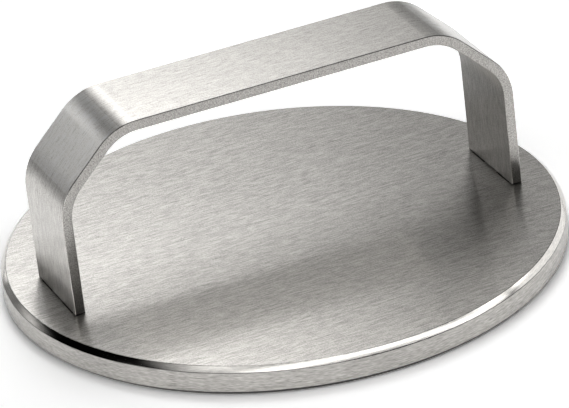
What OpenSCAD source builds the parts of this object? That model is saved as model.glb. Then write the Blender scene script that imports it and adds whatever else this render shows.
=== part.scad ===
// Smash burger press: a heavy round steel plate with a bent strap handle.
// The handle's feet stand on the plate and reach through it on tenons. Each tenon is
// welded from beneath, in a pocket that is ground flush with the pressing face.
// Origin: centre of the pressing face. Z points up, X runs along the handle.

/* [Plate] */
// Diameter of the pressing plate
plate_d = 152; // [140:1:180]
// Thickness of the plate
plate_t = 8; // [6:0.5:12]
// Bevel round the upper edge, the same inwards and downwards
top_bevel = 1.4; // [0.6:0.1:2.2]
// Bevel round the lower edge, the same inwards and upwards
bottom_bevel = 1.1; // [0.6:0.1:2.2]

/* [Handle] */
// Height of the crown above the plate
handle_h = 50; // [44:1:64]
// How far the outer face of each leg stands in from the edge of the plate
foot_inset = 11; // [8:0.5:20]
// How far each shoulder reaches inwards, between its corners before they are rounded
shoulder_run = 17.5; // [12:0.5:26]
// How far each shoulder rises, between its corners before they are rounded
shoulder_rise = 17; // [12:0.5:22]
// Width of the steel strap
strap_w = 27; // [22:1:34]
// Thickness of the steel strap
strap_t = 2.85; // [2:0.05:4]
// Radius inside each of the four bends
bend_r = 12.5; // [5:0.5:14]

/* [Feet and welds] */
// Clear distance between the two tenons of one foot
tenon_gap = 8; // [7:0.5:10]
// Width of the shoulder left outside each tenon
foot_shoulder = 2.5; // [1.5:0.25:3.5]
// Clearance between a tenon and its slot, on each side
slot_clear = 0.1; // [0.05:0.05:0.3]
// Depth of the weld pocket under each tenon
weld_depth = 2; // [1:0.25:3]
// Margin of the weld pocket past the slot on every side
weld_margin = 1.2; // [0.6:0.1:1.8]

/* [Hidden] */
$fn = 180;

left = -1;
right = 1;
front = -1;
back = 1;
// How far a cutting shape runs past the face that it cuts
overrun = 1;
// How far a shoulder's flat lies under the tangent of its bends, so that the two cross in one line
hair = 0.001;

plate_r = plate_d / 2;
leg_outer_x = plate_r - foot_inset;
leg_x = leg_outer_x - strap_t / 2;
crown_z = plate_t + handle_h;

// Slope of the shoulders above the level, which is also what each bend to the crown turns
slope = atan2(shoulder_rise, shoulder_run);
// What each bend from a leg to its shoulder turns
low_turn = 90 - slope;

tenon_w = (strap_w - tenon_gap) / 2 - foot_shoulder;
tenon_y = (tenon_gap + tenon_w) / 2;
slot_w = tenon_w + 2 * slot_clear;
slot_t = strap_t + 2 * slot_clear;
pocket_w = slot_w + 2 * weld_margin;
pocket_t = slot_t + 2 * weld_margin;

// Puts its children at one tenon's place: an end of the handle and an edge of its strap
module at_tenon(end, edge) {
  translate([end * leg_x, edge * tenon_y, 0]) children();
}

module at_each_tenon() {
  for (end = [left, right], edge = [front, back]) at_tenon(end, edge) children();
}

module slot() {
  translate([-slot_t / 2, -slot_w / 2, 0]) cube([slot_t, slot_w, plate_t + overrun]);
}

// Milled pocket with round ends, and the weld metal that fills it
module pocket(from_z, height) {
  end_y = (pocket_w - pocket_t) / 2;
  translate([0, 0, from_z])
    linear_extrude(height) {
      square([pocket_t, 2 * end_y], center = true);
      for (edge = [front, back]) translate([0, edge * end_y]) circle(pocket_t / 2);
    }
}

module turned_disc() {
  rotate_extrude()
    polygon([[0, 0],
             [plate_r - bottom_bevel, 0],
             [plate_r, bottom_bevel],
             [plate_r, plate_t - top_bevel],
             [plate_r - top_bevel, plate_t],
             [0, plate_t]]);
}

module base_plate() {
  color("silver")
    difference() {
      turned_disc();
      at_each_tenon() slot();
      at_each_tenon() pocket(-overrun, weld_depth + overrun);
    }
}

// Filled outline of the handle seen from the side, at a depth under its outer face.
// Each corner is cut straight across where its bend starts and ends, and a circle about
// the bend's centre fills the curve, so the bends of both faces share their centres.
module arch(depth, foot_z) {
  r = bend_r + strap_t - depth;
  leg_face = leg_outer_x - depth;
  crown_face = crown_z - depth;
  low_bend = [leg_face - r, crown_z - shoulder_rise - (depth + r) * tan(low_turn / 2)];
  high_bend = [leg_outer_x - shoulder_run - (depth + r) * tan(slope / 2), crown_face - r];
  out_of_shoulder = (r - hair) * [sin(slope), cos(slope)];
  half = [[leg_face, foot_z],
          [leg_face, low_bend.y],
          low_bend + out_of_shoulder,
          high_bend + out_of_shoulder,
          [high_bend.x, crown_face]];
  last = len(half) - 1;
  polygon(concat(half, [for (i = [0 : last]) [-half[last - i].x, half[last - i].y]]));
  for (end = [left, right], bend = [low_bend, high_bend])
    translate([end * bend.x, bend.y]) circle(r);
}

// The strap bent to shape, its ends still at full width down to the tenons' ends
module bent_strap() {
  rotate([90, 0, 0])
    linear_extrude(strap_w, center = true)
      difference() {
        arch(0, weld_depth);
        arch(strap_t, weld_depth - overrun);
      }
}

// What is cut from one end of the strap, up to the plate's face, to leave the two tenons
module foot_notches() {
  notch = [strap_t + 2 * overrun, foot_shoulder + overrun, plate_t - weld_depth + overrun];
  translate([-notch.x / 2, 0, weld_depth - overrun]) {
    translate([0, -tenon_gap / 2, 0]) cube([notch.x, tenon_gap, notch.z]);
    translate([0, strap_w / 2 - foot_shoulder, 0]) cube(notch);
    translate([0, -strap_w / 2 - overrun, 0]) cube(notch);
  }
}

module handle_strap() {
  color("gainsboro")
    difference() {
      bent_strap();
      for (end = [left, right]) translate([end * leg_x, 0, 0]) foot_notches();
    }
}

module plug_weld(end, edge) {
  color("darkgray") at_tenon(end, edge) pocket(0, weld_depth);
}

base_plate();
handle_strap();
plug_weld(left, front);  // weld_left_front
plug_weld(left, back);  // weld_left_back
plug_weld(right, front);  // weld_right_front
plug_weld(right, back);  // weld_right_back
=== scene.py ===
import bpy
from math import cos, exp, pi, radians, sin
from mathutils import Matrix, Vector

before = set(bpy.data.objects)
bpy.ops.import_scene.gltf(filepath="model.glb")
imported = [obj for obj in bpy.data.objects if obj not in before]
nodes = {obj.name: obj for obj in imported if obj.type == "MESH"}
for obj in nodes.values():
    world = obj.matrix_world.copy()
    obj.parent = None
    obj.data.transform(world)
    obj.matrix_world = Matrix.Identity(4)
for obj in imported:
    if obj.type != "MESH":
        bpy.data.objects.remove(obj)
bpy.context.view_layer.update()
scene = bpy.context.scene
scene.view_settings.view_transform = "Standard"
mm = 0.001
print("frame: loaded", len(nodes), "pieces")


class Wire:
    # one output socket; arithmetic on it adds Math nodes to the same tree
    def __init__(self, graph, socket):
        self.graph = graph
        self.socket = socket

    def math(self, operation, first, second=0.0):
        return self.graph.math(operation, first, second)

    def __add__(self, other):
        return self.math("ADD", self, other)

    def __radd__(self, other):
        return self.math("ADD", other, self)

    def __sub__(self, other):
        return self.math("SUBTRACT", self, other)

    def __rsub__(self, other):
        return self.math("SUBTRACT", other, self)

    def __mul__(self, other):
        return self.math("MULTIPLY", self, other)

    def __rmul__(self, other):
        return self.math("MULTIPLY", other, self)

    def __abs__(self):
        return self.math("ABSOLUTE", self)

    def __gt__(self, other):
        return self.math("GREATER_THAN", self, other)

    def __lt__(self, other):
        return self.math("LESS_THAN", self, other)


class Graph:
    # the node tree of one material, of a lamp or of the world
    def __init__(self, owner):
        owner.use_nodes = True
        self.tree = owner.node_tree
        self.tree.nodes.clear()

    def add(self, kind, settings=None, values=None, out=0):
        node = self.tree.nodes.new(kind)
        for name, value in (settings or {}).items():
            setattr(node, name, value)
        for name, value in (values or {}).items():
            if isinstance(value, Wire):
                self.tree.links.new(value.socket, node.inputs[name])
            else:
                node.inputs[name].default_value = value
        return Wire(self, node.outputs[out]) if len(node.outputs) else node

    def math(self, operation, first, second=0.0):
        return self.add("ShaderNodeMath", {"operation": operation}, {0: first, 1: second})

    def vector(self, operation, values, out=0):
        return self.add("ShaderNodeVectorMath", {"operation": operation}, values, out)

    def blend(self, factor, first, second):
        # two colours mixed
        return self.add("ShaderNodeMix", {"data_type": "RGBA"}, {0: factor, 6: first, 7: second}, 2)

    def scaled(self, vector, amount):
        # a colour or a direction times a value
        return self.vector("SCALE", {0: vector, "Scale": amount})

    def split(self, vector):
        node = self.add("ShaderNodeSeparateXYZ", None, {0: vector}).socket.node
        return [Wire(self, socket) for socket in node.outputs]

    def ramp(self, value, low, high, first=0.0, last=1.0):
        # goes smoothly from first to last while the value goes from low to high
        settings = {"interpolation_type": "SMOOTHSTEP"}
        sockets = {0: value, 1: low, 2: high, 3: first, 4: last}
        return self.add("ShaderNodeMapRange", settings, sockets)

    def limit(self, value, low, high):
        return self.math("MINIMUM", self.math("MAXIMUM", value, low), high)

    def fade(self, value, soft):
        # 1 in the middle of 0 to 1, falling to 0 at both ends over the soft share
        return self.math("MINIMUM", (0.5 - abs(value - 0.5)) * (2.0 / soft), 1.0)

    def noise(self, place, grain):
        # noise whose grains measure so many mm along x, y and z
        place = self.vector("MULTIPLY", {0: place, 1: [1.0 / (side * mm) for side in grain]})
        return self.add("ShaderNodeTexNoise", None,
                        {0: place, "Scale": 1.0, "Detail": 2.0, "Roughness": 0.5})

    def marks(self, place, layers):
        # brush marks: layers of noise, each with the size of its marks and its share
        total = None
        for size, share in layers:
            layer = self.noise(place, size) * share
            total = layer if total is None else total + layer
        return total


def between(value, low, high):
    return (value > low) * (value < high)


def toned(shade, mask, level):
    # the shade times the level where the mask is 1
    return shade * (1 - (1 - level) * mask)


# camera: the photograph's angle, found from the plate's ellipse and the strap's corners
view = {
    "azimuth": -20.54,    # degrees; 0 looks along +Y
    "elevation": 26.60,
    "roll": 6.97,
    "distance": 1.2374,   # m from the aim point
    "aim": (0.00333, 0.00484, 0.01248),
    "lens": 292.1,        # mm on a 36 mm sensor
}


def placeCamera():
    camera = bpy.data.objects.new("camera", bpy.data.cameras.new("camera"))
    scene.collection.objects.link(camera)
    camera.data.sensor_width = 36.0
    camera.data.lens = view["lens"]
    camera.data.clip_end = 20.0
    turn = Matrix.Rotation(radians(view["azimuth"]), 3, "Z")
    tilt = Matrix.Rotation(radians(90.0 - view["elevation"]), 3, "X")
    roll = Matrix.Rotation(radians(-view["roll"]), 3, "Z")
    facing = turn @ tilt
    camera.location = Vector(view["aim"]) + facing @ Vector((0.0, 0.0, view["distance"]))
    camera.rotation_euler = (facing @ roll).to_euler()
    scene.camera = camera


placeCamera()
print("camera: placed")

# brushing: scratches throw the light across their own direction and hardly along it
brush = {
    "leans": 9,              # how many leant copies of the steel make up the spread
    "reach": 2.1,            # the furthest lean, in spreads
    "darkest": 0.5,          # limits of one mark's shade
    "lightest": 1.35,
}


def brushedSteel(graph, colour, roughness, haze, across, height, depth):
    # the same steel leant a little each way across the brush lines, mixed by a bell curve;
    # every other one takes the haze, the rougher value, for the glow round a sharp reflection
    normal = graph.add("ShaderNodeBump", None, {"Distance": depth * mm, "Height": height})
    direction, wander = across
    half = (brush["leans"] - 1) / 2
    steel = None
    total = 0.0
    for step in range(brush["leans"]):
        lean = (step / half - 1) * brush["reach"]
        weight = exp(-lean * lean / 2)
        total += weight
        side = graph.scaled(direction, wander + lean)
        leant = graph.vector("NORMALIZE", {0: graph.vector("ADD", {0: normal, 1: side})})
        part = graph.add("ShaderNodeBsdfPrincipled", None, {
            "Base Color": colour,
            "Metallic": 1.0,
            "Roughness": haze if step % 2 else roughness,
            "Normal": leant,
        })
        if steel is None:
            steel = part
        else:
            steel = graph.add("ShaderNodeMixShader", None, {0: weight / total, 1: steel, 2: part})
    graph.add("ShaderNodeOutputMaterial", None, {"Surface": steel})


def markShade(graph, streak, contrast):
    # light and dark brush marks round 1
    return graph.limit(1 + (streak - 0.5) * contrast, brush["darkest"], brush["lightest"])


# plate: flats brushed straight along x, rim brushed round, bevels polished
plateLook = {
    "steel": (0.640, 0.621, 0.590),
    "flatRoughness": 0.16,   # along the brush lines
    "flatSpread": 0.22,      # how far the scratches throw the light across them
    "haze": 0.29,
    "rimRoughness": 0.20,
    "rimSpread": 0.22,
    "rimShade": 0.95,
    "bevelRoughness": 0.10,
    "bevelShade": 1.18,
    "footPaintedShade": 0.06,       # painted shade: the lower bevel darkened to a dark line along the plate's foot
    "lineShade": 0.30,       # a darker thin strip between the upper bevel and the rim
    "crestPaintedShade": 0.50,      # painted shade: the thin edge between the upper bevel and the flat, darkened so that it doesn't mirror the key lamp as bright dashes
    # size of the brush marks in mm along x, y and z, and the share of each size
    "flatMarks": (((3.2, 0.24, 0.24), 0.44), ((0.30, 0.26, 0.26), 0.43),
                  ((20.0, 0.36, 0.36), 0.13)),
    "rimMarks": (((1.8, 1.8, 0.22), 0.7), ((7.0, 7.0, 0.4), 0.3)),
    "flatContrast": 3.7,
    "rimContrast": 1.9,
    "bevelContrast": 0.5,
    "cloudSize": (40.0, 12.0, 12.0),
    "cloudDepth": 0.04,
    "wander": 0.6,           # how far single marks lean out of line
    "grainDepth": 0.01,      # mm
}


def makePlateSteel():
    look = plateLook
    material = bpy.data.materials.new("plateSteel")
    graph = Graph(material)
    place = graph.add("ShaderNodeTexCoord", out="Object")
    normal = graph.add("ShaderNodeNewGeometry", out="True Normal")
    # 1 on the flat, 0.7 on the upper bevel, 0 on the rim and -0.7 on the lower bevel
    facing = graph.split(normal)[2]
    # painted shade: the lower bevel, a dark line where the plate meets the floor
    onPaintedFoot = between(facing, -0.9, -0.3)
    onLine = between(facing, 0.3, 0.5)
    # painted shade: the thin strip next to the flat, darkened against the key lamp's reflection
    onPaintedCrest = between(facing, 0.85, 0.97)
    upness = abs(facing)
    onFlat = graph.ramp(upness, 0.80, 0.95)
    onRim = 1 - graph.ramp(upness, 0.05, 0.3)
    onBevel = 1 - onFlat - onRim
    flatStreak = graph.marks(place, look["flatMarks"])
    rimStreak = graph.marks(place, look["rimMarks"])
    streak = flatStreak * onFlat + rimStreak * (1 - onFlat)
    cloud = graph.noise(place, look["cloudSize"])
    contrast = (look["flatContrast"] * onFlat + look["rimContrast"] * onRim
                + look["bevelContrast"] * onBevel)
    shade = markShade(graph, streak, contrast) + (cloud - 0.5) * look["cloudDepth"]
    shade = shade * (onFlat + look["rimShade"] * onRim + look["bevelShade"] * onBevel)
    shade = toned(shade, onPaintedFoot, look["footPaintedShade"])
    shade = toned(shade, onLine, look["lineShade"])
    shade = toned(shade, onPaintedCrest, look["crestPaintedShade"])
    colour = graph.scaled(look["steel"], shade)
    roughness = (look["flatRoughness"] * onFlat + look["rimRoughness"] * onRim
                 + look["bevelRoughness"] * onBevel)
    haze = look["haze"] * (1 - onBevel) + look["bevelRoughness"] * onBevel
    spread = {1: look["flatSpread"] * onFlat, 2: look["rimSpread"] * onRim}
    across = graph.add("ShaderNodeCombineXYZ", None, spread), (streak - 0.5) * look["wander"]
    brushedSteel(graph, colour, roughness, haze, across, streak, look["grainDepth"])
    return material


# strap: streaks along its length on the broad faces, a fine matte grain on the narrow edges
strapLook = {
    "steel": (0.672, 0.652, 0.620),
    "faceShade": 1.14,
    "slopePaintedLight": 1.28,      # painted light: the two sloping shoulders lightened, because the lamps leave them dark
    "innerPaintedShade": 0.55,      # painted shade: the inner faces of legs and shoulders darkened
    "faceRoughness": 0.12,
    "faceSpread": 0.22,
    "haze": 0.28,
    "edgeShade": 0.75,
    "edgeRoughness": 0.16,
    "footPaintedShade": 0.32,       # painted shade: narrow edges darkened just above the plate, a painted dark reflection
    "footTop": (9.0, 22.0),  # mm; from where the painted darkness fades to where it ends
    "breakShade": 0.15,      # the dark line where an upward face meets a narrow edge
    "seamShade": 0.03,       # the dark joint line round each foot
    "seamTop": 8.34,         # mm
    # size of the marks in mm along x, y and z, and the share of each size
    "faceMarks": (((3.2, 0.34, 3.2), 0.44), ((0.32, 0.32, 0.32), 0.44), ((18.0, 0.6, 18.0), 0.12)),
    "edgeGrain": (0.32, 0.32, 0.32),
    "faceContrast": 2.6,
    "edgeContrast": 2.0,
    "wander": 0.6,
    "grainDepth": 0.01,      # mm
}


def makeStrapSteel():
    look = strapLook
    material = bpy.data.materials.new("strapSteel")
    graph = Graph(material)
    place = graph.add("ShaderNodeTexCoord", out="Object")
    along, depth, high = graph.split(place)
    normal = graph.add("ShaderNodeNewGeometry", out="True Normal")
    aside, edgeness, upness = graph.split(normal)
    edgeness = abs(edgeness)
    onEdge = graph.ramp(edgeness, 0.8, 0.95)
    onFace = 1 - onEdge
    onBreak = between(edgeness, 0.3, 0.9) * graph.ramp(upness, 0.30, 0.45)
    onSeam = high < look["seamTop"] * mm
    fadeFrom, fadeTo = look["footTop"]
    # painted shade: the narrow edges just above the plate, for a dark reflection there
    onPaintedFoot = onEdge * graph.ramp(high, fadeFrom * mm, fadeTo * mm, 1.0, 0.0)
    # painted light: the outer faces of the sloping shoulders
    onPaintedSlope = between(abs(aside), 0.3, 0.85) * (upness > 0.3)
    # the inner faces of legs and slopes look back at the middle; painted shade darkens them
    onPaintedInner = along * aside < -10 * mm
    grain = graph.noise(place, look["edgeGrain"])
    streak = graph.marks(place, look["faceMarks"]) * onFace + grain * onEdge
    contrast = look["faceContrast"] * onFace + look["edgeContrast"] * onEdge
    shade = markShade(graph, streak, contrast)
    shade = shade * (look["faceShade"] * onFace + look["edgeShade"] * onEdge)
    shade = toned(shade, onPaintedInner, look["innerPaintedShade"])
    shade = toned(shade, onPaintedFoot, look["footPaintedShade"])
    shade = toned(shade, onPaintedSlope, look["slopePaintedLight"])
    shade = toned(shade, onBreak, look["breakShade"])
    shade = toned(shade, onSeam, look["seamShade"])
    colour = graph.scaled(look["steel"], shade)
    roughness = look["faceRoughness"] * onFace + look["edgeRoughness"] * onEdge
    spread = {1: look["faceSpread"] * onFace}
    across = graph.add("ShaderNodeCombineXYZ", None, spread), (streak - 0.5) * look["wander"]
    brushedSteel(graph, colour, roughness, look["haze"], across, grain * onEdge, look["grainDepth"])
    return material


# plug welds: ground flush with the pressing face
weldLook = {
    "steel": (0.60, 0.59, 0.57),
    "roughness": 0.38,
    "grain": (1.5, 0.4, 1.5),   # mm
    "patches": 0.2,             # how much the shade and half as much the roughness vary
    "grainDepth": 0.005,        # mm
}


def makeWeldSteel():
    look = weldLook
    material = bpy.data.materials.new("weldSteel")
    graph = Graph(material)
    place = graph.add("ShaderNodeTexCoord", out="Object")
    grain = graph.noise(place, look["grain"])
    bump = {"Strength": 1.0, "Distance": look["grainDepth"] * mm, "Height": grain}
    steel = graph.add("ShaderNodeBsdfPrincipled", None, {
        "Base Color": graph.scaled(look["steel"], 1 + (grain - 0.5) * look["patches"]),
        "Metallic": 1.0,
        "Roughness": look["roughness"] + grain * (look["patches"] / 2),
        "Normal": graph.add("ShaderNodeBump", None, bump),
    })
    graph.add("ShaderNodeOutputMaterial", None, {"Surface": steel})
    return material


edgeBreaks = {
    # mm of each sharp edge taken off
    "base_plate": 0.11,
    "handle_strap": 0.20,
}


def breakEdges(node, width):
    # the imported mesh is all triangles: joined and flattened first, so that only real edges break
    piece = nodes[node]
    piece.modifiers.new("join", "WELD").merge_threshold = 0.001 * mm
    flat = piece.modifiers.new("flatten", "DECIMATE")
    flat.decimate_type = "DISSOLVE"
    flat.angle_limit = radians(0.1)
    bevel = piece.modifiers.new("edgeBreak", "BEVEL")
    bevel.width = width * mm
    bevel.segments = 1
    bevel.angle_limit = radians(30.0)
    bevel.use_clamp_overlap = False
    soft = piece.modifiers.new("evenShading", "WEIGHTED_NORMAL")
    soft.weight = 100


def paint(node, material):
    for slot in nodes[node].material_slots:
        slot.material = material


for name, width in edgeBreaks.items():
    breakEdges(name, width)
paint("base_plate", makePlateSteel())
paint("handle_strap", makeStrapSteel())
weldSteel = makeWeldSteel()
for name in nodes:
    if name.startswith("weld_"):
        paint(name, weldSteel)
print("finishes: done")

# studio: a pale floor and soft lamps; the room beyond them is dark, as the photo's bevel shows
studio = {
    "floorSize": 4.0,
    "floorShade": 0.80,
    "floorWhite": 1.52,         # as the camera sees it: plain white where no shadow falls
    "floorFade": (0.22, 0.45),  # m from the middle; past it the camera sees plain white
    "floorSheen": 1.28,         # as the steel mirrors it
}
lampDistance = 0.70             # m from the plate's middle line
lamps = {
    # place along x, angle up from the back, width, depth, soft share of each, brightness
    "lampKey": (0.10, 67.5, 0.40, 0.54, 1.0, 0.67, 7.6),
    "lampBack": (0.10, 15, 0.40, 0.36, 1.0, 1.0, 1.6),
    "lampLow": (-0.06, 5, 0.40, 0.12, 1.0, 1.0, 5.2),
    "lampBackMiddle": (0.28, 45, 0.40, 0.36, 1.0, 1.0, 2.0),
    "lampBackRight": (0.50, 30, 0.40, 0.36, 1.0, 1.0, 1.3),
    "lampBackLeft": (-0.30, 8, 0.80, 0.88, 1.0, 1.0, 0.24),
    "lampFront": (0.20, 123, 1.40, 0.22, 0.4, 1.0, 2.2),
    "lampFrontLeft": (-0.38, 106, 0.80, 0.60, 1.0, 1.0, 1.3),
    "lampFrontRight": (0.80, 110, 0.70, 0.36, 1.0, 1.0, 2.9),
    "lampRight": (1.10, 90, 0.40, 0.36, 1.0, 1.0, 3.6),
    "fillFrontLeft": (-0.51, 155, 1.06, 0.46, 0.12, 0.6, 1.7),
    "fillFrontRight": (0.92, 150, 0.80, 0.46, 0.4, 0.6, 1.3),
}
walls = {
    # place, facing, width, height, soft share of each, brightness
    "wallRight": ((1.30, 0.50, 0.38), (-1, 0, 0), 1.7, 0.84, 0.25, 0.25, 1.05),
    "wallLeft": ((-0.95, -0.20, 0.42), (0.9, 0.2, -0.30), 0.7, 0.70, 0.8, 0.8, 2.4),
    "fillBackLeft": ((-0.56, 0.67, 0.27), (0.60, -0.73, -0.29), 0.36, 0.30, 1.0, 1.0, 0.7),
}


def grey(level):
    return (level, level, level, 1.0)


def makeFloor():
    side = studio["floorSize"] / 2
    corners = [(-side, -side, 0), (side, -side, 0), (side, side, 0), (-side, side, 0)]
    mesh = bpy.data.meshes.new("studioFloor")
    mesh.from_pydata(corners, [], [(0, 1, 2, 3)])
    floor = bpy.data.objects.new("studioFloor", mesh)
    scene.collection.objects.link(floor)
    material = bpy.data.materials.new("studioFloor")
    graph = Graph(material)
    toCamera, toSteel, toGlass = [graph.add("ShaderNodeLightPath", out="Is %s Ray" % ray)
                                  for ray in ("Camera", "Glossy", "Transmission")]
    colour = graph.blend(toSteel + toGlass, grey(studio["floorShade"]), grey(studio["floorSheen"]))
    colour = graph.blend(toCamera, colour, grey(studio["floorWhite"]))
    matte = graph.add("ShaderNodeBsdfDiffuse", None, {"Color": colour})
    white = graph.add("ShaderNodeEmission", None, {"Strength": 1.0})
    place = graph.add("ShaderNodeTexCoord", out="Object")
    away = graph.vector("LENGTH", {0: place}, "Value")
    far = graph.ramp(away, *studio["floorFade"])
    both = graph.add("ShaderNodeMixShader", None, {0: toCamera * far, 1: matte, 2: white})
    graph.add("ShaderNodeOutputMaterial", None, {"Surface": both})
    mesh.materials.append(material)


def makeWorld():
    world = bpy.data.worlds.new("studioWorld")
    scene.world = world
    graph = Graph(world)
    toCamera = graph.add("ShaderNodeLightPath", out="Is Camera Ray")
    dark, white = [graph.add("ShaderNodeBackground", None,
                             {"Color": grey(1.0), "Strength": strength})
                   for strength in (0.0, 1.0)]
    both = graph.add("ShaderNodeMixShader", None, {0: toCamera, 1: dark, 2: white})
    graph.add("ShaderNodeOutputWorld", None, {"Surface": both})


def placeLamp(name, place, facing, width, height, softWide, softHigh, brightness):
    lamp = bpy.data.objects.new(name, bpy.data.lights.new(name, "AREA"))
    scene.collection.objects.link(lamp)
    lamp.data.shape = "RECTANGLE"
    lamp.data.size = width
    lamp.data.size_y = height
    lamp.data.energy = brightness * pi * width * height
    lamp.location = place
    lamp.rotation_euler = (-Vector(facing)).to_track_quat("Z", "Y").to_euler()
    # a softbox: full in the middle and fading towards its edges
    graph = Graph(lamp.data)
    over = graph.add("ShaderNodeNewGeometry", out="Parametric")
    wide, high, depth = graph.split(over)
    glow = graph.fade(wide, softWide) * graph.fade(high, softHigh)
    light = graph.add("ShaderNodeEmission", None, {"Strength": glow})
    graph.add("ShaderNodeOutputLight", None, {"Surface": light})


makeFloor()
makeWorld()
for name, (along, angle, *size) in lamps.items():
    out = Vector((0.0, cos(radians(angle)), sin(radians(angle))))
    place = Vector((along, 0.0, 0.0)) + out * lampDistance
    placeLamp(name, place, -out, *size)
for name, wall in walls.items():
    placeLamp(name, *wall)
print("studio: done")
